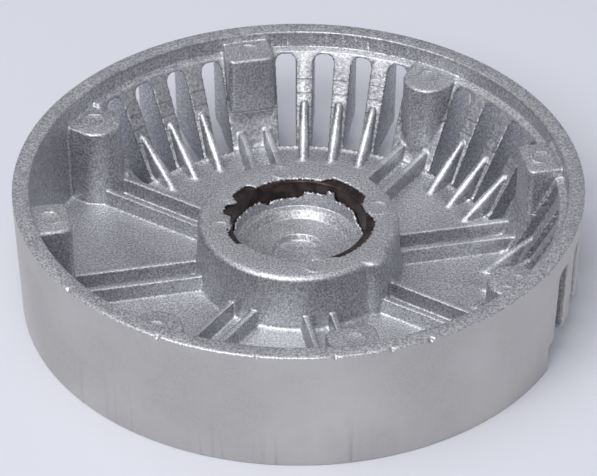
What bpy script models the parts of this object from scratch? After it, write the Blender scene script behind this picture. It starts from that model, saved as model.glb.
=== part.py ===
"""End housing for a small engine-driven machine: a die-cast aluminium bowl with a vented half wall
and a steel bearing sleeve cast into its hub.

Metres, +Z up.  The origin is on the hub's axis, in the plane the skirt stands on.  Azimuths are in
degrees, counted from +X towards +Y.  Only the sleeve is a second physical piece; every object whose
name starts with "casting_" is one feature of the same casting, kept apart by CLEARANCE.
"""
import bpy
import bmesh
from math import cos, sin, pi, radians, atan2, hypot
from mathutils import Vector

MM = 0.001

# Driving dimensions -------------------------------------------------------------------------
CLEARANCE = 0.3 * MM          # gap kept between neighbouring solids

RIM_RADIUS = 100.0 * MM       # outer radius at the top of the rim
RIM_THICKNESS = 6.0 * MM      # radial thickness of the rim's top ring
WALL_HEIGHT = 47.6 * MM       # skirt foot to rim top
RIM_BAND_HEIGHT = 6.0 * MM    # plain band above the vents
RIM_EDGE_ROUND = 1.2 * MM     # rounding of the rim's outer top edge
OUTER_DRAFT = 1.9 * MM        # how much narrower the skirt is at its foot
WALL_DRAFT = 1.0 * MM         # how much the plain wall thickens inwards by floor level

FLOOR_HEIGHT = 9.4 * MM       # top of the floor web
FLOOR_THICKNESS = 4.2 * MM

HUB_RADIUS = 35.5 * MM        # at the hub's top
HUB_HEIGHT = 31.3 * MM
HUB_DRAFT = 1.0 * MM          # how much wider the hub is at its foot
HUB_EDGE_ROUND = 1.6 * MM
HUB_LIP_WIDTH = 2.2 * MM      # lip of aluminium over the sleeve's top
HUB_LIP_THICKNESS = 0.7 * MM
LOBE_RADIUS = 5.5 * MM        # round lobe on the hub's flank
LOBE_AZIMUTH = -40.0
LOBE_INSET = 0.2 * MM         # between the lobe's circle and the hub's bore
LOBE_DROP = 0.1 * MM          # how far its top lies below the hub's

BORE_RADIUS = 23.7 * MM       # inside of the steel sleeve, a 47 mm bearing seat before machining
SLEEVE_WALL = 3.8 * MM
SLEEVE_HEIGHT = 13.2 * MM
SLEEVE_CHAMFER = 0.5 * MM
BORE_DEPTH = 13.9 * MM        # hub top to the bore's floor
BORE_FLOOR_THICKNESS = 5.4 * MM
BORE_LEDGE_STEP = 2.8 * MM    # how far the ledge stands above the bore's floor
BORE_LEDGE_WIDTH = 3.1 * MM
BORE_LEDGE_SLOPE = 2.0 * MM   # run of the ledge's sloping flank
RECESS_RADIUS = 9.3 * MM      # centring recess in the bore's floor
RECESS_DEPTH = 2.5 * MM
RECESS_DRAFT = 0.6 * MM
FLASH_THICKNESS = 0.6 * MM    # skin of aluminium that crept up the sleeve's bore
FLASH_HEIGHT = 5.5 * MM

BOSS_COUNT = 8
BOSS_PHASE = 12.0             # azimuth of boss 1
BOSS_SHAPES = ("square", "round")  # they alternate round the wall
SQUARE_BOSS_WIDTH = 17.3 * MM
SQUARE_BOSS_DEPTH = 11.8 * MM  # radial
SQUARE_BOSS_DROP = 3.0 * MM   # rim top to boss top
SQUARE_BOSS_CORNER = 2.5 * MM
ROUND_BOSS_RADIUS = 8.9 * MM
ROUND_BOSS_INSET = 6.0 * MM   # from its axis out to the wall's foot
ROUND_BOSS_DROP = 7.8 * MM
BOSS_DRAFT = 0.6 * MM         # how much a boss widens by its foot

RIB_PITCH = 9.6 * MM          # between the two ribs that join a boss to the hub
RIB_THICKNESS = 2.5 * MM
RIB_DRAFT = 0.7 * MM          # how much thicker a rib is at its foot
RIB_HEIGHT = 6.0 * MM

SLOTS_PER_SECTOR = 4          # vents between two neighbouring bosses
VENTED_SECTORS = (-1, 0, 1, 2)  # sector k runs from boss k+1 to boss k+2
SLOT_ANGLE = 4.85             # width of one vent, in degrees
BAR_LEDGE = 3.0 * MM          # step in from the rim band to the vent bars' inner face
BAR_LEAN = 0.494              # how far that face leans inwards, per unit of depth
BAR_SETBACK = 1.0 * MM        # how far the bars' outer face lies inside the skirt's
BAR_SHOULDER_RISE = 5.0 * MM  # from the floor's underside to where the bars' outer face turns under
BAR_FOOT_THICKNESS = 1.9 * MM  # flat foot of a bar, outside its leaning face
VENT_SILL = 1.1 * MM          # how far the floor's vented edge lies inside the bars' face
SKIRT_SETBACK = 2.1           # degrees of bar left beside the last vent before the skirt starts

ROD_RADIUS = 1.55 * MM        # half-round back of the gusset under each vent bar
ROD_HEIGHT = 15.2 * MM        # how far up the bar it reaches, above the floor
ROD_REACH = 10.1 * MM         # how far in from the bar's foot it starts
ROD_STEPS = 6

RING_STEPS = 96
HUB_STEPS = 64
LOBE_STEPS = 20
BOSS_STEPS = 28
CORNER_STEPS = 3
ARC_STEP = 4.0                # degrees per facet on part-circle walls
STEP_ANGLE = 0.05             # degrees over which a swept section changes to the next
ROUND_SHARE = 0.3             # inset of a rounded edge's middle point, as a share of its radius

# Derived sizes --------------------------------------------------------------------------------
SECTOR_ANGLE = 360.0 / BOSS_COUNT
SLOT_PITCH = SECTOR_ANGLE / (SLOTS_PER_SECTOR + 1)
BAR_HALF_ANGLE = (SLOT_PITCH - SLOT_ANGLE) / 2
RIM_INNER_RADIUS = RIM_RADIUS - RIM_THICKNESS
BAND_FOOT = WALL_HEIGHT - RIM_BAND_HEIGHT
BAR_TOP = BAND_FOOT - CLEARANCE
BAR_INNER_RADIUS = RIM_INNER_RADIUS - BAR_LEDGE
FLOOR_UNDERSIDE = FLOOR_HEIGHT - FLOOR_THICKNESS
BAR_SHOULDER_HEIGHT = FLOOR_UNDERSIDE + BAR_SHOULDER_RISE
FLOOR_INNER_RADIUS = HUB_RADIUS + HUB_DRAFT + CLEARANCE
WALL_FOOT_RADIUS = RIM_INNER_RADIUS - WALL_DRAFT
SLEEVE_RADIUS = BORE_RADIUS + SLEEVE_WALL
SLEEVE_TOP = HUB_HEIGHT - HUB_LIP_THICKNESS - CLEARANCE
SLEEVE_FOOT = SLEEVE_TOP - SLEEVE_HEIGHT
HUB_BORE_RADIUS = SLEEVE_RADIUS + CLEARANCE
FLASH_RADIUS = BORE_RADIUS - CLEARANCE
BORE_FLOOR_HEIGHT = HUB_HEIGHT - BORE_DEPTH
BORE_LEDGE_HEIGHT = BORE_FLOOR_HEIGHT + BORE_LEDGE_STEP
RIB_FOOT_THICKNESS = RIB_THICKNESS + RIB_DRAFT
ROD_TOP_HEIGHT = FLOOR_HEIGHT + ROD_HEIGHT

CAST_COLOUR = (0.60, 0.61, 0.63)
STEEL_COLOUR = (0.07, 0.05, 0.045)


def clear_scene():
    for item in list(bpy.data.objects):
        bpy.data.objects.remove(item, do_unlink=True)


def metal(name, colour, roughness):
    material = bpy.data.materials.new(name)
    material.use_nodes = True
    shader = material.node_tree.nodes["Principled BSDF"]
    shader.inputs["Base Color"].default_value = (*colour, 1.0)
    shader.inputs["Roughness"].default_value = roughness
    shader.inputs["Metallic"].default_value = 1.0
    return material


def add_object(name, verts, faces, colour, roughness, smooth=True):
    mesh = bpy.data.meshes.new(name)
    mesh.from_pydata(verts, [], faces)
    mesh.validate()
    form = bmesh.new()
    form.from_mesh(mesh)
    bmesh.ops.recalc_face_normals(form, faces=form.faces)
    form.to_mesh(mesh)
    form.free()
    if smooth:
        mesh.shade_smooth()
        mesh.set_sharp_from_angle(angle=radians(30))
    mesh.materials.append(metal(name, colour, roughness))
    item = bpy.data.objects.new(name, mesh)
    bpy.context.scene.collection.objects.link(item)
    return item


def cast(name, verts, faces, smooth=True):
    return add_object(name, verts, faces, CAST_COLOUR, 0.5, smooth)


def polar(radius, azimuth, height):
    return Vector((radius * cos(radians(azimuth)), radius * sin(radians(azimuth)), height))


def sweep(stations, closed=False):
    """Vertices and faces of a body swept round the axis; stations are (azimuth, [(radius, height)...])."""
    count = len(stations[0][1])
    verts = [polar(r, azimuth, z) for azimuth, profile in stations for r, z in profile]
    faces = []
    spans = len(stations) if closed else len(stations) - 1
    for s in range(spans):
        here = s * count
        there = ((s + 1) % len(stations)) * count
        for i in range(count):
            j = (i + 1) % count
            faces.append((here + i, here + j, there + j, there + i))
    if not closed:
        last = (len(stations) - 1) * count
        faces.append(tuple(range(count)))
        faces.append(tuple(range(last, last + count)))
    return verts, faces


def ring(profile, steps):
    return sweep([(360.0 * s / steps, profile) for s in range(steps)], closed=True)


def arc(profile, start, end):
    steps = max(1, round((end - start) / ARC_STEP))
    return sweep([(start + (end - start) * s / steps, profile) for s in range(steps + 1)])


def loft(outlines):
    """Body through a stack of outlines, each a list of points with the same count, capped at both ends."""
    count = len(outlines[0])
    verts = [Vector(point) for outline in outlines for point in outline]
    faces = []
    for level in range(len(outlines) - 1):
        here = level * count
        there = here + count
        for i in range(count):
            j = (i + 1) % count
            faces.append((here + i, here + j, there + j, there + i))
    top = (len(outlines) - 1) * count
    faces.append(tuple(range(count)))
    faces.append(tuple(range(top, top + count)))
    return verts, faces


def join_to(item, helper):
    """Union a hidden helper solid onto an item."""
    helper.hide_render = True
    helper.display_type = "WIRE"
    union = item.modifiers.new("union", "BOOLEAN")
    union.operation = "UNION"
    union.solver = "EXACT"
    union.object = helper


def outer_radius(height):
    """The rim and skirt narrow evenly towards the skirt's foot."""
    return RIM_RADIUS - OUTER_DRAFT * (WALL_HEIGHT - height) / WALL_HEIGHT


def rounded_corner(radius, height, edge):
    """Three (radius, height) points that round an outer top corner."""
    near = ROUND_SHARE * edge
    return [(radius, height - edge), (radius - near, height - near), (radius - edge, height)]


def build_rim_band():
    profile = [
        (RIM_INNER_RADIUS, BAND_FOOT),
        (outer_radius(BAND_FOOT), BAND_FOOT),
        *rounded_corner(RIM_RADIUS, WALL_HEIGHT, RIM_EDGE_ROUND),
        (RIM_INNER_RADIUS, WALL_HEIGHT),
    ]
    cast("casting_rim_band", *ring(profile, RING_STEPS))


def bar_face_radius(height):
    """Radius of the vent bars' leaning inner face."""
    return BAR_INNER_RADIUS - BAR_LEAN * (BAND_FOOT - height)


def bar_profile():
    """Section of the vented wall: leaning inner face, upright outer face, sloping underside."""
    foot = bar_face_radius(FLOOR_HEIGHT)
    inner_edge = floor_vent_radius() + CLEARANCE
    return [
        (BAR_INNER_RADIUS, BAR_TOP),
        (foot, FLOOR_HEIGHT),
        (inner_edge, FLOOR_HEIGHT),
        (inner_edge, FLOOR_UNDERSIDE),
        (foot + BAR_FOOT_THICKNESS, FLOOR_UNDERSIDE),
        (outer_radius(BAR_SHOULDER_HEIGHT) - BAR_SETBACK, BAR_SHOULDER_HEIGHT),
        (outer_radius(BAR_TOP) - BAR_SETBACK, BAR_TOP),
    ]


def floor_vent_radius():
    """Outer edge of the floor web between the vents."""
    return bar_face_radius(FLOOR_HEIGHT) - VENT_SILL


def skirt_range():
    first = BOSS_PHASE + SECTOR_ANGLE * (VENTED_SECTORS[-1] + 1) - SLOT_PITCH + SLOT_ANGLE / 2
    last = BOSS_PHASE + SECTOR_ANGLE * VENTED_SECTORS[0] + SLOT_PITCH - SLOT_ANGLE / 2 + 360.0
    return first, last


def build_skirt():
    """Plain wall over the unvented sectors; a short length beside each end vent stops at the bars' foot."""
    first, last = skirt_range()
    top = (RIM_INNER_RADIUS, BAR_TOP)
    outer_top = (outer_radius(BAR_TOP), BAR_TOP)
    shoulder = (outer_radius(BAR_SHOULDER_HEIGHT), BAR_SHOULDER_HEIGHT)
    short = [top, (WALL_FOOT_RADIUS, FLOOR_HEIGHT), shoulder, outer_top]
    full = [top, (WALL_FOOT_RADIUS, 0.0), (outer_radius(0.0), 0.0), outer_top]
    start = first + SKIRT_SETBACK
    end = last - SKIRT_SETBACK
    steps = round((end - start) / ARC_STEP)
    stations = [(first, short), (start - STEP_ANGLE, short)]
    stations += [(start + (end - start) * s / steps, full) for s in range(steps + 1)]
    stations += [(end + STEP_ANGLE, short), (last, short)]
    cast("casting_skirt_wall", *sweep(stations))


def build_floor():
    """Flat web from the hub to the wall, cut back to the vent bars over the vented sectors."""
    first, last = skirt_range()
    wide = WALL_FOOT_RADIUS - CLEARANCE
    narrow = floor_vent_radius()

    def section(outer):
        return [
            (FLOOR_INNER_RADIUS, FLOOR_UNDERSIDE),
            (outer, FLOOR_UNDERSIDE),
            (outer, FLOOR_HEIGHT),
            (FLOOR_INNER_RADIUS, FLOOR_HEIGHT),
        ]

    stations = []
    for start, end, outer in ((first, last, wide), (last, first + 360.0, narrow)):
        inset = STEP_ANGLE if outer == narrow else 0.0
        steps = round((end - start) / ARC_STEP)
        low = start + inset
        high = end - inset
        stations += [(low + (high - low) * s / steps, section(outer)) for s in range(steps + 1)]
    cast("casting_floor_web", *sweep(stations, closed=True))


def build_hub():
    edge = HUB_EDGE_ROUND
    lip_radius = HUB_BORE_RADIUS - HUB_LIP_WIDTH
    lip_foot = HUB_HEIGHT - HUB_LIP_THICKNESS
    foot = HUB_RADIUS + HUB_DRAFT
    profile = [
        (HUB_BORE_RADIUS, FLOOR_UNDERSIDE),
        (foot, FLOOR_UNDERSIDE),
        (foot, FLOOR_HEIGHT),
        *rounded_corner(HUB_RADIUS, HUB_HEIGHT, edge),
        (lip_radius, HUB_HEIGHT),
        (lip_radius, lip_foot),
        (HUB_BORE_RADIUS, lip_foot),
    ]
    hub = cast("casting_hub_barrel", *ring(profile, HUB_STEPS))
    centre = polar(lobe_centre_radius(), LOBE_AZIMUTH, 0.0)
    lobe = [
        circle(centre, LOBE_RADIUS, FLOOR_HEIGHT + CLEARANCE, LOBE_STEPS),
        circle(centre, LOBE_RADIUS, HUB_HEIGHT - edge, LOBE_STEPS),
        circle(centre, LOBE_RADIUS - edge, HUB_HEIGHT - LOBE_DROP, LOBE_STEPS),
    ]
    join_to(hub, cast("hub_lobe_helper", *loft(lobe)))


def circle(centre, radius, height, steps):
    turns = [2 * pi * i / steps for i in range(steps)]
    return [(centre.x + radius * cos(t), centre.y + radius * sin(t), height) for t in turns]


def build_sleeve():
    profile = [
        (BORE_RADIUS, SLEEVE_FOOT),
        (SLEEVE_RADIUS, SLEEVE_FOOT),
        (SLEEVE_RADIUS, SLEEVE_TOP),
        (BORE_RADIUS + SLEEVE_CHAMFER, SLEEVE_TOP),
        (BORE_RADIUS, SLEEVE_TOP - SLEEVE_CHAMFER),
    ]
    add_object("bearing_sleeve", *ring(profile, HUB_STEPS), STEEL_COLOUR, 0.45)


def build_bore_floor():
    """Stepped bottom of the bore: seat under the sleeve, ledge, floor and centring recess."""
    ledge_inner = FLASH_RADIUS - BORE_LEDGE_WIDTH
    recess = BORE_FLOOR_HEIGHT - RECESS_DEPTH
    underside = BORE_FLOOR_HEIGHT - BORE_FLOOR_THICKNESS
    outer = HUB_BORE_RADIUS - CLEARANCE
    seat = SLEEVE_FOOT - CLEARANCE
    levels = [
        (outer, underside),
        (outer, seat),
        (FLASH_RADIUS, seat),
        (FLASH_RADIUS, BORE_LEDGE_HEIGHT),
        (ledge_inner, BORE_LEDGE_HEIGHT),
        (ledge_inner - BORE_LEDGE_SLOPE, BORE_FLOOR_HEIGHT),
        (RECESS_RADIUS, BORE_FLOOR_HEIGHT),
        (RECESS_RADIUS - RECESS_DRAFT, recess),
    ]
    origin = Vector((0.0, 0.0, 0.0))
    cast("casting_bore_floor", *loft([circle(origin, r, z, HUB_STEPS) for r, z in levels]))


def build_bore_flash():
    foot = BORE_LEDGE_HEIGHT + CLEARANCE
    profile = [
        (FLASH_RADIUS - FLASH_THICKNESS, foot),
        (FLASH_RADIUS, foot),
        (FLASH_RADIUS, foot + FLASH_HEIGHT),
        (FLASH_RADIUS - FLASH_THICKNESS, foot + FLASH_HEIGHT),
    ]
    cast("casting_bore_flash", *ring(profile, HUB_STEPS))


def boss_azimuth(index):
    return BOSS_PHASE + SECTOR_ANGLE * index


def boss_shape(index):
    return BOSS_SHAPES[index % len(BOSS_SHAPES)]


def square_outline(grow):
    """Rounded rectangle in (radial, tangential) steps from the boss's centre."""
    half_r = SQUARE_BOSS_DEPTH / 2 + grow - SQUARE_BOSS_CORNER
    half_t = SQUARE_BOSS_WIDTH / 2 + grow - SQUARE_BOSS_CORNER
    points = []
    for corner, (sr, st) in enumerate(((1, 1), (-1, 1), (-1, -1), (1, -1))):
        for step in range(CORNER_STEPS + 1):
            turn = pi / 2 * (corner + step / CORNER_STEPS)
            points.append((
                sr * half_r + SQUARE_BOSS_CORNER * cos(turn),
                st * half_t + SQUARE_BOSS_CORNER * sin(turn),
            ))
    return points


def round_outline(grow):
    turns = [2 * pi * i / BOSS_STEPS for i in range(BOSS_STEPS)]
    radius = ROUND_BOSS_RADIUS + grow
    return [(radius * cos(t), radius * sin(t)) for t in turns]


def place_outline(points, centre_radius, azimuth, height, limit):
    """Outline in the part's frame, with nothing further out than the wall it stands against."""
    placed = []
    for radial, tangential in points:
        radius = hypot(centre_radius + radial, tangential)
        angle = radians(azimuth) + atan2(tangential, centre_radius + radial)
        radius = min(radius, limit)
        placed.append((radius * cos(angle), radius * sin(angle), height))
    return placed


def boss_centre_radius(index):
    """A square boss's back lies against the wall's foot; a round one is set by its axis."""
    if boss_shape(index) == "round":
        return WALL_FOOT_RADIUS - ROUND_BOSS_INSET
    return WALL_FOOT_RADIUS - CLEARANCE - SQUARE_BOSS_DEPTH / 2


def boss_front(index):
    """Radius of the boss's face towards the hub."""
    depth = ROUND_BOSS_RADIUS if boss_shape(index) == "round" else SQUARE_BOSS_DEPTH / 2
    return boss_centre_radius(index) - depth


def backed_by_bars(index):
    """Whether the vented wall runs behind this boss."""
    return index - 1 in VENTED_SECTORS and index in VENTED_SECTORS


def build_bosses():
    limit = WALL_FOOT_RADIUS - CLEARANCE
    foot = FLOOR_HEIGHT + CLEARANCE
    for index in range(BOSS_COUNT):
        azimuth = boss_azimuth(index)
        centre = boss_centre_radius(index)
        if boss_shape(index) == "round":
            outline = round_outline
            top = WALL_HEIGHT - ROUND_BOSS_DROP
        else:
            outline = square_outline
            top = WALL_HEIGHT - SQUARE_BOSS_DROP
        body = loft([
            place_outline(outline(BOSS_DRAFT), centre, azimuth, foot, limit),
            place_outline(outline(0.0), centre, azimuth, top, limit),
        ])
        name = f"casting_boss_{index + 1}"
        if backed_by_bars(index):
            half = SLOT_PITCH - SLOT_ANGLE / 2
            wall = cast(name, *arc(bar_profile(), azimuth - half, azimuth + half))
            join_to(wall, cast(f"boss_helper_{index + 1}", *body))
        else:
            cast(name, *body)


def lobe_centre_radius():
    return HUB_BORE_RADIUS + LOBE_RADIUS + LOBE_INSET


def rib_start(across, azimuth):
    """How far out a rib's line, at this offset from the boss's radius, leaves the hub or its lobe."""
    clear = HUB_RADIUS + HUB_DRAFT + CLEARANCE
    start = (clear ** 2 - across ** 2) ** 0.5
    turn = radians(LOBE_AZIMUTH - azimuth)
    along = lobe_centre_radius() * cos(turn)
    beside = abs(across - lobe_centre_radius() * sin(turn))
    reach = LOBE_RADIUS + CLEARANCE
    if along > 0 and beside < reach:
        start = max(start, along + (reach ** 2 - beside ** 2) ** 0.5)
    return start


def rib_end(index):
    """Where a boss's ribs stop short of the boss, or of the leaning wall behind it."""
    end = boss_front(index) - BOSS_DRAFT
    if backed_by_bars(index):
        outer_edge = (RIB_PITCH + RIB_FOOT_THICKNESS) / 2
        end = min(end, (bar_face_radius(FLOOR_HEIGHT) ** 2 - outer_edge ** 2) ** 0.5)
    return end - CLEARANCE


def build_ribs():
    """A pair of ribs from the hub to each boss, parallel to the boss's radius."""
    levels = (
        (FLOOR_HEIGHT + CLEARANCE, RIB_FOOT_THICKNESS),
        (FLOOR_HEIGHT + RIB_HEIGHT, RIB_THICKNESS),
    )
    for index in range(BOSS_COUNT):
        azimuth = boss_azimuth(index)
        end = rib_end(index)
        for side, letter in ((-1, "a"), (1, "b")):
            middle = side * RIB_PITCH / 2
            foot_edges = (middle - RIB_FOOT_THICKNESS / 2, middle + RIB_FOOT_THICKNESS / 2)
            start = max(rib_start(edge, azimuth) for edge in (*foot_edges, middle))
            sections = []
            for height, thickness in levels:
                low = middle - thickness / 2
                high = middle + thickness / 2
                outline = ((start, low), (end, low), (end, high), (start, high))
                sections.append([plane_point(Vector((u, height)), v, azimuth) for u, v in outline])
            cast(f"casting_rib_{index + 1}{letter}", *loft(sections), smooth=False)


def vent_bar_azimuths():
    for sector in VENTED_SECTORS:
        for step in range(1, SLOTS_PER_SECTOR):
            yield boss_azimuth(sector) + SLOT_PITCH * (step + 0.5)


def build_vent_bars():
    for number, azimuth in enumerate(vent_bar_azimuths(), start=1):
        stations = [(azimuth + side * BAR_HALF_ANGLE, bar_profile()) for side in (-1, 1)]
        cast(f"casting_vent_bar_{number:02d}", *sweep(stations), smooth=False)


def build_gusset_rods():
    """A slim gusset with a half-round back in the corner between each vent bar and the floor."""
    gap = CLEARANCE * hypot(1.0, BAR_LEAN)
    foot = FLOOR_HEIGHT + CLEARANCE
    back_top = Vector((bar_face_radius(ROD_TOP_HEIGHT) - gap, ROD_TOP_HEIGHT))
    back_foot = Vector((bar_face_radius(FLOOR_HEIGHT) - ROD_REACH, foot))
    run = (back_top - back_foot).normalized()
    corner = Vector((bar_face_radius(foot) - gap, foot))
    for number, azimuth in enumerate(vent_bar_azimuths(), start=1):
        sections = []
        for step in range(ROD_STEPS + 1):
            turn = pi * step / ROD_STEPS - pi / 2
            depth = ROD_RADIUS * (1 - cos(turn))
            low = back_foot + Vector((depth / run.y, 0.0))
            sunk = depth / (run.x - BAR_LEAN * run.y)
            top = back_top - Vector((BAR_LEAN, 1.0)) * sunk
            outline = (low, top, corner)
            sections.append([plane_point(point, ROD_RADIUS * sin(turn), azimuth) for point in outline])
        cast(f"casting_gusset_rod_{number:02d}", *loft(sections))


def plane_point(point, across, azimuth):
    """A (radius, height) point in the vertical plane at azimuth, moved sideways by across."""
    turn = radians(azimuth)
    x = point.x * cos(turn) - across * sin(turn)
    y = point.x * sin(turn) + across * cos(turn)
    return (x, y, point.y)


def main():
    clear_scene()
    build_rim_band()
    build_skirt()
    build_floor()
    build_hub()
    build_sleeve()
    build_bore_floor()
    build_bore_flash()
    build_bosses()
    build_ribs()
    build_vent_bars()
    build_gusset_rods()


main()
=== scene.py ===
"""Looks for the cast end housing: one continuous aluminium casting with its steel sleeve.

The casting is built as a signed distance field in millimetres, so that every rib, boss and vent joins
the next through a cast fillet, and is then meshed.  Places and heights are read from the CAD frame.
"""

import bpy
import numpy as np
from math import cos, pi, radians, sin, tan
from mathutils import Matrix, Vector


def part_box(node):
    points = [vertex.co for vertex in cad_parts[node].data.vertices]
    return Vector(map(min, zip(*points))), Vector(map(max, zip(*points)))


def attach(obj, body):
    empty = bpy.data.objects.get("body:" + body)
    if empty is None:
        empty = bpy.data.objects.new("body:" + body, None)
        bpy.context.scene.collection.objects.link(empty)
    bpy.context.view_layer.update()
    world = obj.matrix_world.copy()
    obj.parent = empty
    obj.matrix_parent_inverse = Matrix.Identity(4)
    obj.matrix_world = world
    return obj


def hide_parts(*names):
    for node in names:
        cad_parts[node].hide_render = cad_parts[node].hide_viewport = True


MM = 0.001
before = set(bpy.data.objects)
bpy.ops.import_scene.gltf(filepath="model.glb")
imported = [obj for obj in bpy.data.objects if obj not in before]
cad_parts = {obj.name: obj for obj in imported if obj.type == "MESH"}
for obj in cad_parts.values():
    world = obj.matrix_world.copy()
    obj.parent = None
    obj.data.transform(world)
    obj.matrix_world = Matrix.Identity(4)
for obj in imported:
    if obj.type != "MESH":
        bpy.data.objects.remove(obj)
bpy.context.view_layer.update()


def millimetres(node):
    """A CAD node's lowest and highest corner in millimetres."""
    low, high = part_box(node)
    return [c / MM for c in low], [c / MM for c in high]


# Sizes from the frame ---------------------------------------------------------------------------
(_, _, BAND_FOOT), (RIM_RADIUS, _, WALL_TOP) = millimetres("casting_rim_band")
(_, _, FLOOR_UNDER), (_, _, FLOOR_TOP) = millimetres("casting_floor_web")
(hub_low, hub_high) = millimetres("casting_hub_barrel")
HUB_TOP = hub_high[2]
HUB_FOOT_RADIUS = -hub_low[0]
(sleeve_low, sleeve_high) = millimetres("bearing_sleeve")
SLEEVE_RADIUS = sleeve_high[0]
SLEEVE_TOP = sleeve_high[2]
SLEEVE_FOOT = sleeve_low[2]
LEDGE_TOP = millimetres("casting_bore_floor")[1][2]
BORE_UNDER = millimetres("casting_bore_floor")[0][2]
BORE_LINING = millimetres("casting_bore_flash")[1][0]
RIB_TOP = millimetres("casting_rib_1a")[1][2]
ROD_TOP = millimetres("casting_gusset_rod_01")[1][2]
BOSS_TOPS = [millimetres(f"casting_boss_{n}")[1][2] for n in range(1, 9)]

# Casting details, in millimetres and degrees ------------------------------------------------------
BOSS_PHASE = 12.0
SECTOR = 45.0
SLOT_PITCH = 9.0
SLOT_ANGLE = 4.85
VENTED_SECTORS = (-1, 0, 1, 2)
SKIRT_SETBACK = 2.1
SKIRT_START = BOSS_PHASE + SECTOR * (VENTED_SECTORS[-1] + 1) - SLOT_PITCH + SLOT_ANGLE / 2 + SKIRT_SETBACK
SKIRT_END = BOSS_PHASE + SECTOR * VENTED_SECTORS[0] + SLOT_PITCH - SLOT_ANGLE / 2 + 360 - SKIRT_SETBACK
RIM_INNER = RIM_RADIUS - 6.0
WALL_FOOT_INNER = RIM_INNER - 1.0
WALL_FOOT_OUTER = RIM_RADIUS - 1.9
BAR_FACE = 91.0
BAR_LEAN = 0.494
SILL_RADIUS = 74.0
SLOT_TOP = WALL_TOP - 7.9
SLOT_CORNER = 3.0
SHOULDER = 10.2
BAR_FOOT_RADIUS = 77.0
RIM_EDGE = 0.7
HUB_EDGE = 2.2
LOBE_AZIMUTH = -40.0
LOBE_CENTRE = 33.4
LOBE_RADIUS = 5.5
RIB_PITCH = 9.6
RIB_HALF_WIDTH = 1.2
RIB_START = 33
RIB_END = 83
ROD_FOOT_RADIUS = 64.4
ROD_RADIUS = 1.65
ROUND_BOSS_RADIUS = 8.9
ROUND_BOSS_CENTRE = WALL_FOOT_INNER - 6.0
SQUARE_BOSS_WIDTH = 17.3
SQUARE_BOSS_DEPTH = 11.8
BOSS_DRAFT = 0.016
BOSS_EDGE = 0.9
SLEEVE_WALL = 3.8
LEDGE_RADIUS = 20.0
BORE_FLOOR = 17.4
BORE_FLOOR_RADIUS = 18.4
RECESS_RADIUS = 9.3
HUB_MARKS = (102.0, 12.0, -78.0, -168.0)
HUB_MARK_RADIUS = 28.4
BOSS_MARK_RADIUS = 88.0
MARK_SIZE = 3.7
MARK_BEAD = 0.42
PARTING_LINES = (31.5, 26.9, 22.3)

# The thin lip over the sleeve, and where it has broken back: azimuth, half width, edge radius there
LIP_RADIUS = 24.0
LIP_BREAKS = (
    (-155, 14, 26.3), (-84, 24, 25.3), (-30, 40, 27.0), (46, 25, 27.2), (142, 13, 27.2), (168, 9, 26.8),
)
# The metal that crept up inside the sleeve, and its taller tongues: azimuth, half width, top there
LINING_TOP = 21.5
LINING_TONGUES = ((60, 6, 28.0), (75, 15, 26.0), (45, 20, 25.0), (145, 28, 24.5), (100, 20, 23.5))
# Small dents on the rim's outer edge: azimuth, size
RIM_DENTS = ((-20, 0.6), (-32, 0.8), (-64, 1.0), (-72, 0.8), (-83, 0.7), (-98, 0.5), (-118, 0.9), (-141, 0.8))


# Mesh: grid steps in millimetres, and the most triangles that the casting keeps
GRID_STEP = 0.45
MOST_TRIANGLES = 190000

# Camera: radians above the horizon, then distance and aim below the rim's top as shares of its radius
CAMERA_ELEVATION = 0.6231
CAMERA_REACH = 12.917
CAMERA_DROP = 0.2515
CAMERA_LENS = 223.1


# Distance functions ---------------------------------------------------------------------------------
def smooth_min(a, b, blend):
    if blend <= 0:
        return np.minimum(a, b)
    overlap = np.maximum(blend - np.abs(a - b), 0) / blend
    return np.minimum(a, b) - overlap * overlap * (blend / 4)


def smooth_max(a, b, blend):
    return -smooth_min(-a, -b, blend)


def corner(a, b, radius):
    """Intersection of two distances with a rounded edge."""
    a = a + radius
    b = b + radius
    return np.hypot(np.maximum(a, 0), np.maximum(b, 0)) + np.minimum(np.maximum(a, b), 0) - radius


def ripple(a, b):
    """Smooth irregular waviness between about -1 and 1."""
    return (np.sin(a * 2.1 + b) + np.sin(a * 4.7 - b * 2.3 + 1.1) + np.sin(a * 7.9 + b * 1.7 + 2.3)) / 2.4


def ragged(base, places, x, y, amount):
    """The base value, raised near each (azimuth, half width, value) place, with a torn edge."""
    azimuth = np.degrees(np.arctan2(y, x))
    value = np.full_like(azimuth, base)
    for middle, half, level in places:
        away = np.abs((azimuth - middle + 180) % 360 - 180) / half
        value = np.maximum(value, base + (level - base) * np.clip(3 * (1 - away), 0, 1))
    return value + amount * ripple(azimuth * 0.45, azimuth * 0.21)


def local(x, y, azimuth):
    """Radial and tangential coordinates about the axis at an azimuth."""
    c = cos(radians(azimuth))
    s = sin(radians(azimuth))
    return x * c + y * s, y * c - x * s


def outline_distance(points, r, z):
    """Signed distance to a closed (radius, height) outline, negative inside."""
    r, z = np.broadcast_arrays(r, z)
    nearest = np.full(r.shape, 1e9, np.float32)
    inside = np.zeros(r.shape, bool)
    for (r0, z0), (r1, z1) in zip(points, points[1:] + points[:1]):
        dr, dz = r1 - r0, z1 - z0
        t = np.clip(((r - r0) * dr + (z - z0) * dz) / (dr * dr + dz * dz), 0, 1)
        nearest = np.minimum(nearest, np.hypot(r - r0 - t * dr, z - z0 - t * dz))
        if dz:
            crosses = ((z0 > z) != (z1 > z)) & (r < dr * (z - z0) / dz + r0)
            inside ^= crosses
    return np.where(inside, -nearest, nearest)


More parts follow.
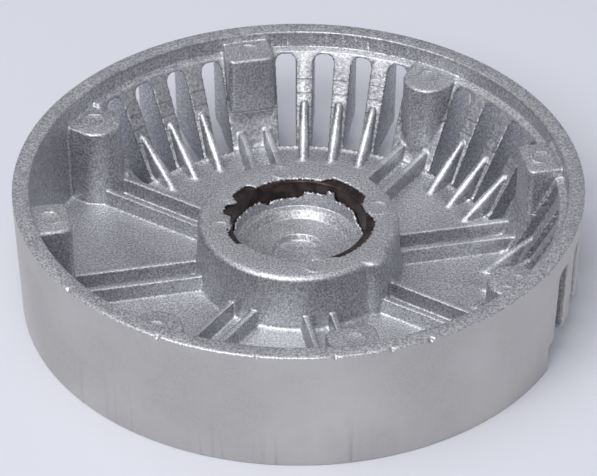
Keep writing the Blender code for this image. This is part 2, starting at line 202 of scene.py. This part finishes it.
def turned(points):
    """Shape turned about the axis from an outline."""

    def shape(x, y, z):
        radius = np.hypot(x, y)[:, :, 0]
        steps = np.arange(0, float(radius.max()) + 0.4, 0.2)
        heights = z.ravel()
        table = outline_distance(points, steps[:, None], heights[None, :])
        out = np.empty(radius.shape + (len(heights),), np.float32)
        for level in range(len(heights)):
            out[:, :, level] = np.interp(radius, steps, table[:, level])
        return out

    return shape


def wedge(x, y, start, end):
    """Distance to the sector from start to end, counted anticlockwise."""
    a = x * sin(radians(start)) - y * cos(radians(start))
    b = y * cos(radians(end)) - x * sin(radians(end))
    return np.maximum(a, b) if end - start <= 180 else np.minimum(a, b)


class Field:
    """Signed distance on a regular grid, negative inside the metal."""

    def __init__(self, low, high, step):
        self.step = step
        self.axes = [np.arange(a, b + step / 2, step, dtype=np.float32) for a, b in zip(low, high)]
        self.value = np.full([len(a) for a in self.axes], 9.0, np.float32)

    def window(self, low, high):
        cut = tuple(
            slice(int(np.searchsorted(axis, a)), int(np.searchsorted(axis, b)))
            for axis, a, b in zip(self.axes, low, high)
        )
        x, y, z = (axis[c] for axis, c in zip(self.axes, cut))
        return cut, x[:, None, None], y[None, :, None], z[None, None, :]

    def join(self, shape, low, high, blend=0.6):
        cut, x, y, z = self.window(low, high)
        self.value[cut] = smooth_min(self.value[cut], shape(x, y, z), blend)

    def carve(self, shape, low, high, blend=0.6):
        cut, x, y, z = self.window(low, high)
        self.value[cut] = smooth_max(self.value[cut], -shape(x, y, z), blend)

    def around(self, radius, azimuth, reach, z_low, z_high):
        """Window corners round a point given in polar coordinates."""
        cx = radius * cos(radians(azimuth))
        cy = radius * sin(radians(azimuth))
        return (cx - reach, cy - reach, z_low), (cx + reach, cy + reach, z_high)


def surface(field):
    """Vertices and quads of the field's zero level, by surface nets."""
    value = field.value
    solid = value < 0
    nx, ny, nz = (n - 1 for n in value.shape)
    count = np.zeros((nx, ny, nz), np.uint8)
    corners = [(i, j, k) for i in (0, 1) for j in (0, 1) for k in (0, 1)]
    for i, j, k in corners:
        count += solid[i:i + nx, j:j + ny, k:k + nz]
    active = np.argwhere((count > 0) & (count < 8))
    samples = {c: value[tuple((active + c).T)] for c in corners}
    total = np.zeros((len(active), 3))
    hits = np.zeros(len(active))
    for a in corners:
        for axis in range(3):
            if a[axis]:
                continue
            b = tuple(a[n] + (n == axis) for n in range(3))
            va, vb = samples[a], samples[b]
            crosses = (va < 0) != (vb < 0)
            gap = np.where(crosses, va - vb, 1.0)
            t = np.where(crosses, va / gap, 0.0)
            for n in range(3):
                total[:, n] += np.where(crosses, a[n] + (t if n == axis else 0.0), 0.0)
            hits += crosses
    points = (active + total / hits[:, None]) * field.step
    points += [axis[0] for axis in field.axes]
    index = np.full((nx, ny, nz), -1, np.int32)
    index[tuple(active.T)] = np.arange(len(active), dtype=np.int32)
    quads = []
    for axis in range(3):
        ahead = [slice(None)] * 3
        here = [slice(None)] * 3
        ahead[axis] = slice(1, None)
        here[axis] = slice(None, -1)
        changes = solid[tuple(here)] != solid[tuple(ahead)]
        spots = np.argwhere(changes)
        u, v = [n for n in range(3) if n != axis]
        spots = spots[(spots[:, u] > 0) & (spots[:, v] > 0) & (spots[:, u] < value.shape[u] - 1)
                      & (spots[:, v] < value.shape[v] - 1)]
        leaving = solid[tuple(spots.T)]
        cells = []
        for du, dv in ((-1, -1), (0, -1), (0, 0), (-1, 0)):
            cell = spots.copy()
            cell[:, u] += du
            cell[:, v] += dv
            cells.append(index[tuple(cell.T)])
        quad = np.stack(cells, axis=1)
        forward = leaving if axis != 1 else ~leaving
        quads.append(np.where(forward[:, None], quad, quad[:, ::-1]))
    return points, np.concatenate(quads)


# The casting -----------------------------------------------------------------------------------------
def slot_azimuths():
    for sector in VENTED_SECTORS:
        for step in range(1, 5):
            yield BOSS_PHASE + SECTOR * sector + SLOT_PITCH * step


def bar_azimuths():
    for sector in VENTED_SECTORS:
        for step in range(1, 4):
            yield BOSS_PHASE + SECTOR * sector + SLOT_PITCH * (step + 0.5)


def bar_face(height):
    return BAR_FACE - BAR_LEAN * (BAND_FOOT - height)


def outer_radius(height):
    return WALL_FOOT_OUTER + (RIM_RADIUS - WALL_FOOT_OUTER) * height / WALL_TOP


def add_walls(field):
    low = (-102, -102, -2)
    high = (102, 102, WALL_TOP + 2)
    vented = [
        (RIM_INNER, WALL_TOP),
        (RIM_INNER, BAND_FOOT - 0.4),
        (BAR_FACE + 0.4, BAND_FOOT - 0.7),
        (bar_face(FLOOR_TOP), FLOOR_TOP),
        (SILL_RADIUS, FLOOR_TOP),
        (SILL_RADIUS, FLOOR_UNDER),
        (BAR_FOOT_RADIUS, FLOOR_UNDER),
        (outer_radius(SHOULDER) - 0.6, SHOULDER),
        (outer_radius(SHOULDER), SHOULDER + 1.0),
        (RIM_RADIUS, WALL_TOP - RIM_EDGE),
        (RIM_RADIUS - 0.2, WALL_TOP - 0.2),
        (RIM_RADIUS - RIM_EDGE, WALL_TOP),
    ]
    plain = [
        (RIM_INNER, WALL_TOP),
        (WALL_FOOT_INNER, 0.0),
        (WALL_FOOT_OUTER, 0.0),
        (RIM_RADIUS, WALL_TOP - RIM_EDGE),
        (RIM_RADIUS - 0.2, WALL_TOP - 0.2),
        (RIM_RADIUS - RIM_EDGE, WALL_TOP),
    ]
    vented_shape = turned(vented)
    plain_shape = turned(plain)

    def vented_part(x, y, z):
        return np.maximum(vented_shape(x, y, z), wedge(x, y, SKIRT_END - 360, SKIRT_START))

    def plain_part(x, y, z):
        return smooth_max(plain_shape(x, y, z), wedge(x, y, SKIRT_START, SKIRT_END), 0.8)

    field.join(vented_part, low, high, 0.0)
    for azimuth in slot_azimuths():
        field.carve(slot_shape(azimuth), *field.around(87, azimuth, 17, -2, SLOT_TOP + 3), 0.3)
    field.join(plain_part, low, high, 0.3)


def slot_shape(azimuth):
    def shape(x, y, z):
        u, v = local(x, y, azimuth)
        half = u * tan(radians(SLOT_ANGLE / 2)) + 0.18 * ripple(z * 0.9 + azimuth, u * 0.3)
        opening = corner(np.abs(v) - half, z - SLOT_TOP, SLOT_CORNER)
        return np.maximum(opening, SILL_RADIUS - np.hypot(x, y))

    return shape


def add_floor(field):
    def shape(x, y, z):
        radius = np.hypot(x, y)
        reach = np.where(wedge(x, y, SKIRT_START, SKIRT_END) < 0, WALL_FOOT_INNER + 0.5, SILL_RADIUS + 0.2)
        slab = np.maximum(z - FLOOR_TOP, FLOOR_UNDER - z)
        return np.maximum(np.maximum(slab, radius - reach), SLEEVE_RADIUS + 2 - radius)

    field.join(shape, (-96, -96, -2), (96, 96, FLOOR_TOP + 6), 2.2)

    def sill(x, y, z):
        azimuth = np.degrees(np.arctan2(y, x))
        top = FLOOR_TOP + 0.35 + 0.5 * ripple(azimuth * 1.3, azimuth * 0.4)
        ridge = np.hypot(np.hypot(x, y) - SILL_RADIUS, np.maximum(z - top, 0)) - 0.4
        return np.maximum(np.maximum(ridge, FLOOR_TOP - 1 - z), wedge(x, y, SKIRT_END - 360, SKIRT_START))

    field.join(sill, (-76, -76, FLOOR_TOP - 2), (76, 76, FLOOR_TOP + 3), 0.3)


def add_hub(field):
    top_radius = HUB_FOOT_RADIUS - 1.0
    turns = np.linspace(0, pi / 2, 6)
    rim = [(top_radius - HUB_EDGE * (1 - cos(t)), HUB_TOP - HUB_EDGE * (1 - sin(t))) for t in turns]
    outline = [(SLEEVE_RADIUS, FLOOR_UNDER), (HUB_FOOT_RADIUS, FLOOR_UNDER), *rim, (SLEEVE_RADIUS, HUB_TOP)]
    reach = HUB_FOOT_RADIUS + 8
    field.join(turned(outline), (-reach, -reach, -2), (reach, reach, HUB_TOP + 3), 2.4)

    def lobe(x, y, z):
        u, v = local(x, y, LOBE_AZIMUTH)
        side = np.hypot(u - LOBE_CENTRE, v) - LOBE_RADIUS - 0.02 * (HUB_TOP - z)
        return np.maximum(corner(side, z - HUB_TOP + 0.1, 1.6), FLOOR_TOP - 1 - z)

    field.join(lobe, *field.around(LOBE_CENTRE, LOBE_AZIMUTH, 11, FLOOR_TOP - 2, HUB_TOP + 3), 0.9)


def add_bore(field):
    outline = [
        (0, BORE_UNDER),
        (SLEEVE_RADIUS + 1, BORE_UNDER),
        (SLEEVE_RADIUS + 1, SLEEVE_FOOT - 0.05),
        (BORE_LINING, SLEEVE_FOOT - 0.05),
        (BORE_LINING, LEDGE_TOP),
        (LEDGE_RADIUS, LEDGE_TOP),
        (BORE_FLOOR_RADIUS, BORE_FLOOR),
        (RECESS_RADIUS, BORE_FLOOR),
        (RECESS_RADIUS - 0.7, BORE_FLOOR - 2.5),
        (0, BORE_FLOOR - 2.2),
    ]
    reach = SLEEVE_RADIUS + 3
    field.join(turned(outline), (-reach, -reach, BORE_UNDER - 2), (reach, reach, LEDGE_TOP + 3), 0.4)

    def lip(x, y, z):
        edge = ragged(LIP_RADIUS, LIP_BREAKS, x, y, 0.4)
        plate = np.maximum(z - HUB_TOP, SLEEVE_TOP + 0.05 - z)
        radius = np.hypot(x, y)
        return np.maximum(np.maximum(plate, edge - radius), radius - SLEEVE_RADIUS - 3)

    field.join(lip, (-reach, -reach, SLEEVE_TOP - 2), (reach, reach, HUB_TOP + 3), 0.0)

    def lining_wall(x, y, z):
        radius = np.hypot(x, y)
        top = ragged(LINING_TOP, LINING_TONGUES, x, y, 0.45)
        skin = np.maximum(radius - BORE_LINING - 0.15, BORE_LINING - 0.95 - radius)
        return np.maximum(skin, np.maximum(z - top, LEDGE_TOP - 1 - z))

    field.join(lining_wall, (-reach, -reach, LEDGE_TOP - 2), (reach, reach, HUB_TOP), 0.2)


def add_bosses(field):
    """Square and round bosses alternate round the wall."""
    for index, top in enumerate(BOSS_TOPS):
        azimuth = BOSS_PHASE + SECTOR * index
        shape = round_boss(azimuth, top) if index % 2 else square_boss(azimuth, top)
        field.join(shape, *field.around(87, azimuth, 17, FLOOR_TOP - 3, WALL_TOP + 2), 1.0)


def square_boss(azimuth, top):
    front = WALL_FOOT_INNER - SQUARE_BOSS_DEPTH
    back = RIM_INNER + 1.0
    middle = (front + back) / 2

    def shape(x, y, z):
        u, v = local(x, y, azimuth)
        grow = BOSS_DRAFT * (top - z)
        a = np.abs(u - middle) - (back - front) / 2 - grow
        b = np.abs(v) - SQUARE_BOSS_WIDTH / 2 - grow
        side = np.maximum(corner(a, b, 2.6), np.hypot(x, y) - RIM_INNER - 1.0)
        return np.maximum(corner(side, z - top, BOSS_EDGE), FLOOR_TOP - 1.5 - z)

    return shape


def round_boss(azimuth, top):
    def shape(x, y, z):
        u, v = local(x, y, azimuth)
        side = np.hypot(np.minimum(u - ROUND_BOSS_CENTRE, 0), v) - ROUND_BOSS_RADIUS - BOSS_DRAFT * (top - z)
        side = np.maximum(side, np.hypot(x, y) - RIM_INNER - 1.0)
        return np.maximum(corner(side, z - top, BOSS_EDGE), FLOOR_TOP - 1.5 - z)

    return shape


def add_ribs(field):
    for index in range(len(BOSS_TOPS)):
        azimuth = BOSS_PHASE + SECTOR * index
        for side in (-1, 1):
            shape = rib(azimuth, side * RIB_PITCH / 2)
            field.join(shape, *field.around(58, azimuth, 32, 0, RIB_TOP + 3), 1.1)


def rib(azimuth, offset):
    def shape(x, y, z):
        u, v = local(x, y, azimuth)
        half = RIB_HALF_WIDTH + 0.06 * (RIB_TOP - z)
        body = corner(np.abs(v - offset) - half, z - RIB_TOP, 0.45)
        return np.maximum(np.maximum(body, RIB_START - u), np.maximum(u - RIB_END, FLOOR_TOP - 1.5 - z))

    return shape


def add_rods(field):
    for azimuth in bar_azimuths():
        field.join(rod(azimuth), *field.around(75, azimuth, 16, FLOOR_TOP - 3, ROD_TOP + 4), 0.5)


def rod(azimuth):
    """Gusset with a half-round back: everything under the line of its ridge."""
    foot = np.array([ROD_FOOT_RADIUS, FLOOR_TOP])
    head = np.array([bar_face(ROD_TOP) - 1.2, ROD_TOP - 0.2])
    run = head - foot
    length = float(np.hypot(*run))
    run /= length

    def shape(x, y, z):
        u, v = local(x, y, azimuth)
        along = (u - foot[0]) * run[0] + (z - foot[1]) * run[1]
        thick = ROD_RADIUS * (1.15 - 0.3 * np.clip(along / length, 0, 1))
        above = (z - foot[1]) * run[0] - (u - foot[0]) * run[1] + thick
        past = np.maximum(np.maximum(along - length, -along), 0)
        back = np.sqrt(v * v + np.maximum(above, 0) ** 2 + past ** 2) - thick
        return np.maximum(back, np.hypot(x, y) - bar_face(z) - 1.0)

    return shape


def add_marks(field):
    """Rings that the ejector pins left on the hub and bosses, each fading out over part of its turn."""
    places = [(HUB_MARK_RADIUS, azimuth, HUB_TOP) for azimuth in HUB_MARKS]
    places += [(BOSS_MARK_RADIUS, BOSS_PHASE + SECTOR * i, top) for i, top in enumerate(BOSS_TOPS)]
    for number, (radius, azimuth, top) in enumerate(places):
        ring = mark(radius, azimuth, top, 1.3 * number)
        field.join(ring, *field.around(radius, azimuth, 6, top - 2, top + 2), 0.25)


def mark(radius, azimuth, top, turn):
    def shape(x, y, z):
        u, v = local(x, y, azimuth)
        rise = 0.24 + 0.2 * np.sin(np.arctan2(v, u - radius) + turn)
        return np.hypot(np.hypot(u - radius, v) - MARK_SIZE, z - top + 0.3 - rise) - MARK_BEAD

    return shape


def add_dents(field):
    for azimuth, size in RIM_DENTS:
        cx = (RIM_RADIUS - 0.3) * cos(radians(azimuth))
        cy = (RIM_RADIUS - 0.3) * sin(radians(azimuth))

        def ball(x, y, z):
            return np.sqrt((x - cx) ** 2 + (y - cy) ** 2 + (z - WALL_TOP + 0.5) ** 2) - size

        field.carve(ball, (cx - 3, cy - 3, WALL_TOP - 4), (cx + 3, cy + 3, WALL_TOP + 2), 0.2)


def build_mesh(name, points, quads):
    mesh = bpy.data.meshes.new(name)
    mesh.vertices.add(len(points))
    mesh.vertices.foreach_set("co", (points * MM).astype(np.float32).ravel())
    mesh.loops.add(quads.size)
    mesh.loops.foreach_set("vertex_index", quads.astype(np.int32).ravel())
    mesh.polygons.add(len(quads))
    mesh.polygons.foreach_set("loop_start", np.arange(0, quads.size, 4, dtype=np.int32))
    mesh.update(calc_edges=True)
    item = bpy.data.objects.new(name, mesh)
    bpy.context.scene.collection.objects.link(item)
    return item


def apply_modifiers(item):
    graph = bpy.context.evaluated_depsgraph_get()
    mesh = bpy.data.meshes.new_from_object(item.evaluated_get(graph), depsgraph=graph)
    item.modifiers.clear()
    item.data = mesh


def build_casting():
    step = GRID_STEP
    field = Field((-102.3, -102.3, -2.3), (102.3, 102.3, WALL_TOP + 2.5), step)
    add_walls(field)
    add_floor(field)
    add_hub(field)
    add_bore(field)
    add_bosses(field)
    add_ribs(field)
    add_rods(field)
    add_marks(field)
    add_dents(field)
    points, quads = surface(field)
    print("casting", len(points), "vertices", len(quads), "quads")
    casting = build_mesh("end_housing_casting", points, quads)
    thin = casting.modifiers.new("thin", "DECIMATE")
    thin.ratio = min(1.0, MOST_TRIANGLES / (2 * len(quads)))
    apply_modifiers(casting)
    casting.data.shade_smooth()
    casting.data.set_sharp_from_angle(angle=radians(55))
    casting.data.materials.append(cast_aluminium())
    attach(casting, "root")
    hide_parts(*[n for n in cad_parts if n.startswith("casting_")])


# Materials ------------------------------------------------------------------------------------------
class Nodes:
    """Small helper for writing a shader's nodes as code."""

    def __init__(self, name):
        self.material = bpy.data.materials.new(name)
        self.material.use_nodes = True
        self.tree = self.material.node_tree
        self.shader = self.tree.nodes["Principled BSDF"]
        self.place = self.add("ShaderNodeTexCoord").outputs["Object"]

    def add(self, kind, **settings):
        node = self.tree.nodes.new(kind)
        for key, value in settings.items():
            setattr(node, key, value)
        return node

    def link(self, source, target):
        self.tree.links.new(source, target)

    def noise(self, per_mm, detail=2.0, roughness=0.5):
        node = self.add("ShaderNodeTexNoise")
        node.inputs["Scale"].default_value = per_mm / MM
        node.inputs["Detail"].default_value = detail
        node.inputs["Roughness"].default_value = roughness
        self.link(self.place, node.inputs["Vector"])
        return node.outputs["Fac"]

    def remap(self, value, low, high, out_low, out_high):
        node = self.add("ShaderNodeMapRange")
        names = ("From Min", "From Max", "To Min", "To Max")
        for name, number in zip(names, (low, high, out_low, out_high)):
            node.inputs[name].default_value = number
        self.link(value, node.inputs["Value"])
        return node.outputs["Result"]

    def math(self, operation, a, b=0.0):
        node = self.add("ShaderNodeMath", operation=operation)
        for socket, value in zip(node.inputs, (a, b)):
            if isinstance(value, (int, float)):
                socket.default_value = value
            else:
                self.link(value, socket)
        return node.outputs["Value"]

    def mix(self, factor, a, b):
        node = self.add("ShaderNodeMix", data_type="RGBA")
        for socket, value in ((node.inputs["Factor"], factor), (node.inputs["A"], a), (node.inputs["B"], b)):
            if isinstance(value, tuple):
                socket.default_value = (*value, 1.0)
            elif isinstance(value, (int, float)):
                socket.default_value = value
            else:
                self.link(value, socket)
        return node.outputs["Result"]

    def bump(self, height, distance, normal=None):
        node = self.add("ShaderNodeBump")
        node.inputs["Distance"].default_value = distance * MM
        self.link(height, node.inputs["Height"])
        if normal:
            self.link(normal, node.inputs["Normal"])
        return node.outputs["Normal"]


def smooth_step(n, value, low, high):
    """0 below low and 1 above high; low may be the larger."""
    node = n.add("ShaderNodeMapRange", interpolation_type="SMOOTHSTEP")
    for name, number in (("From Min", low), ("From Max", high), ("To Min", 0.0), ("To Max", 1.0)):
        node.inputs[name].default_value = number
    n.link(value, node.inputs["Value"])
    return node.outputs["Result"]


def cast_aluminium():
    """As-cast metal: fine grain inside, smoother outside, coarse on the vent bars, and a painted highlight as
    a lighter tone on the gussets.
    """
    n = Nodes("cast_aluminium")
    place = n.add("ShaderNodeSeparateXYZ")
    n.link(n.place, place.inputs[0])
    x, y, z = (n.math("MULTIPLY", place.outputs[axis], 1 / MM) for axis in "XYZ")
    radius = n.math("SQRT", n.math("ADD", n.math("MULTIPLY", x, x), n.math("MULTIPLY", y, y)))
    face = n.math("ADD", n.math("MULTIPLY", z, BAR_LEAN), BAR_FACE - BAR_LEAN * BAND_FOOT)
    off_face = n.math("ABSOLUTE", n.math("SUBTRACT", radius, face))
    middle = radians((SKIRT_END - 360 + SKIRT_START) / 2)
    towards = n.math("ADD", n.math("MULTIPLY", x, cos(middle)), n.math("MULTIPLY", y, sin(middle)))
    vented = smooth_step(n, towards, 5.0, 8.0)
    above_floor = smooth_step(n, z, FLOOR_TOP + 0.3, FLOOR_TOP + 1.0)
    coarse = n.math("MULTIPLY", smooth_step(n, off_face, 1.0, 0.5), n.math("MULTIPLY", vented, above_floor))
    below_rim = smooth_step(n, z, WALL_TOP - 0.4, WALL_TOP - 1.0)
    outside = n.math("MULTIPLY", smooth_step(n, radius, 97.0, 98.0), below_rim)
    line = None
    for height in PARTING_LINES:
        near = smooth_step(n, n.math("ABSOLUTE", n.math("SUBTRACT", z, height)), 0.32, 0.14)
        line = near if line is None else n.math("MAXIMUM", line, near)
    line = n.math("MULTIPLY", line, coarse)

    grain = n.noise(1.5, 1.0, 0.6)
    sparkle = n.noise(0.9, 2.0, 0.7)
    mottle = n.noise(0.07, 3.0)
    stain = n.noise(0.035, 4.0, 0.6)
    contrast = n.remap(grain, 0.34, 0.66, 0.0, 1.0)
    inside = n.mix(contrast, (0.36, 0.365, 0.385), (0.80, 0.805, 0.84))
    bright = n.mix(n.remap(sparkle, 0.36, 0.64, 0.0, 1.0), (0.32, 0.325, 0.345), (0.68, 0.685, 0.72))
    # Painted highlight: the gusset rods get a lighter tone than the rest of the metal.
    ridge = smooth_step(n, z, FLOOR_TOP + 3, FLOOR_TOP + 5)
    ridge = n.math("MULTIPLY", smooth_step(n, radius, 62.0, 64.0), ridge)
    ridge = n.math("MULTIPLY", n.math("MULTIPLY", ridge, smooth_step(n, radius, 77.0, 75.0)), vented)
    skin = n.mix(n.remap(stain, 0.38, 0.62, 0.0, 1.0), (0.50, 0.485, 0.465), (0.63, 0.61, 0.585))
    skin = n.mix(n.remap(grain, 0.34, 0.66, 0.0, 0.35), skin, (0.70, 0.685, 0.66))
    rod_highlight_tone = n.mix(contrast, (0.62, 0.625, 0.65), (0.96, 0.96, 1.0))
    tone = n.mix(ridge, inside, rod_highlight_tone)
    tone = n.mix(coarse, tone, bright)
    tone = n.mix(outside, tone, skin)
    tone = n.mix(n.math("MULTIPLY", line, 0.5), tone, (0.2, 0.2, 0.22))
    tone = n.mix(n.remap(mottle, 0.3, 0.7, 0.0, 0.25), tone, (0.36, 0.365, 0.385))
    n.link(tone, n.shader.inputs["Base Color"])
    n.shader.inputs["Metallic"].default_value = 1.0
    n.link(n.remap(grain, 0.2, 0.8, 0.44, 0.56), n.shader.inputs["Roughness"])
    depth = n.math("ADD", n.math("MULTIPLY", outside, -0.75), 1.0)
    pits = n.math("MULTIPLY", n.math("MULTIPLY", sparkle, coarse), 1.2)
    rough = n.math("ADD", n.math("MULTIPLY", grain, depth), pits)
    rough = n.math("SUBTRACT", rough, n.math("MULTIPLY", line, 1.5))
    normal = n.bump(rough, 0.09)
    n.link(n.bump(mottle, 0.25, normal), n.shader.inputs["Normal"])
    return n.material


def sleeve_steel():
    n = Nodes("sleeve_steel")
    rust = n.noise(0.25, 4.0)
    grain = n.noise(2.0, 2.0)
    tone = n.mix(n.remap(rust, 0.38, 0.62, 0, 1), (0.028, 0.020, 0.021), (0.075, 0.052, 0.050))
    n.link(tone, n.shader.inputs["Base Color"])
    n.shader.inputs["Metallic"].default_value = 0.7
    n.link(n.remap(grain, 0.2, 0.8, 0.32, 0.46), n.shader.inputs["Roughness"])
    n.link(n.bump(grain, 0.03), n.shader.inputs["Normal"])
    return n.material


def build_sleeve():
    """Turned steel ring with a chamfer at its mouth."""
    bore = SLEEVE_RADIUS - SLEEVE_WALL
    outline = [
        (bore, SLEEVE_FOOT), (SLEEVE_RADIUS + 0.1, SLEEVE_FOOT), (SLEEVE_RADIUS + 0.1, SLEEVE_TOP),
        (bore + 0.75, SLEEVE_TOP), (bore + 0.55, SLEEVE_TOP - 0.06), (bore + 0.06, SLEEVE_TOP - 0.55),
        (bore, SLEEVE_TOP - 0.8),
    ]
    steps = 192
    turns = np.arange(steps) * 2 * pi / steps
    points = np.array([(r * cos(t), r * sin(t), z) for t in turns for r, z in outline])
    count = len(outline)
    quads = np.array([
        (s * count + i, s * count + (i + 1) % count,
         (s + 1) % steps * count + (i + 1) % count, (s + 1) % steps * count + i)
        for s in range(steps) for i in range(count)
    ])
    sleeve = build_mesh("steel_sleeve", points, quads)
    sleeve.data.shade_smooth()
    sleeve.data.set_sharp_from_angle(angle=radians(35))
    sleeve.data.materials.append(sleeve_steel())
    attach(sleeve, "root")
    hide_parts("bearing_sleeve")


# Stage ------------------------------------------------------------------------------------------------
def build_stage():
    mesh = bpy.data.meshes.new("studio_floor")
    reach = 9.0
    corners = [(-reach, -reach, 0), (reach, -reach, 0), (reach, reach, 0), (-reach, reach, 0)]
    mesh.from_pydata(corners, [], [(0, 1, 2, 3)])
    floor = bpy.data.objects.new("studio_floor", mesh)
    bpy.context.scene.collection.objects.link(floor)
    material = bpy.data.materials.new("studio_paper")
    material.use_nodes = True
    shader = material.node_tree.nodes["Principled BSDF"]
    shader.inputs["Base Color"].default_value = (0.70, 0.71, 0.78, 1)
    shader.inputs["Roughness"].default_value = 0.9
    mesh.materials.append(material)


def add_light(name, place, aim, size, power):
    data = bpy.data.lights.new(name, "AREA")
    data.shape = "RECTANGLE"
    data.size, data.size_y = size
    data.energy = power
    item = bpy.data.objects.new(name, data)
    item.location = place
    item.rotation_euler = (Vector(aim) - Vector(place)).to_track_quat("-Z", "Y").to_euler()
    bpy.context.scene.collection.objects.link(item)


def build_lights():
    world = bpy.data.worlds.new("studio")
    world.use_nodes = True
    background = world.node_tree.nodes["Background"]
    background.inputs["Color"].default_value = (0.83, 0.84, 0.885, 1)
    background.inputs["Strength"].default_value = 0.5
    bpy.context.scene.world = world
    centre = (0, 0, 0.03)
    add_light("front_box", (-0.62, -1.3, 1.6), centre, (1.6, 1.1), 31)
    add_light("top_box", (-0.3, 0.1, 1.9), centre, (1.2, 1.2), 6)


def build_camera():
    """Long lens, 35.7 degrees above the horizon, aimed a quarter of the radius below the rim's centre."""
    reach = CAMERA_REACH * RIM_RADIUS * MM
    target = Vector((0, 0, WALL_TOP * MM - CAMERA_DROP * RIM_RADIUS * MM))
    data = bpy.data.cameras.new("camera")
    data.sensor_width = 36.0
    data.lens = CAMERA_LENS
    camera = bpy.data.objects.new("camera", data)
    away = Vector((0, -cos(CAMERA_ELEVATION), sin(CAMERA_ELEVATION)))
    camera.location = away * reach + Vector((0, 0, WALL_TOP * MM))
    camera.rotation_euler = (target - camera.location).to_track_quat("-Z", "Y").to_euler()
    bpy.context.scene.collection.objects.link(camera)
    bpy.context.scene.camera = camera


bpy.context.scene.view_settings.view_transform = "Standard"
build_camera()
build_casting()
build_sleeve()
build_stage()
build_lights()
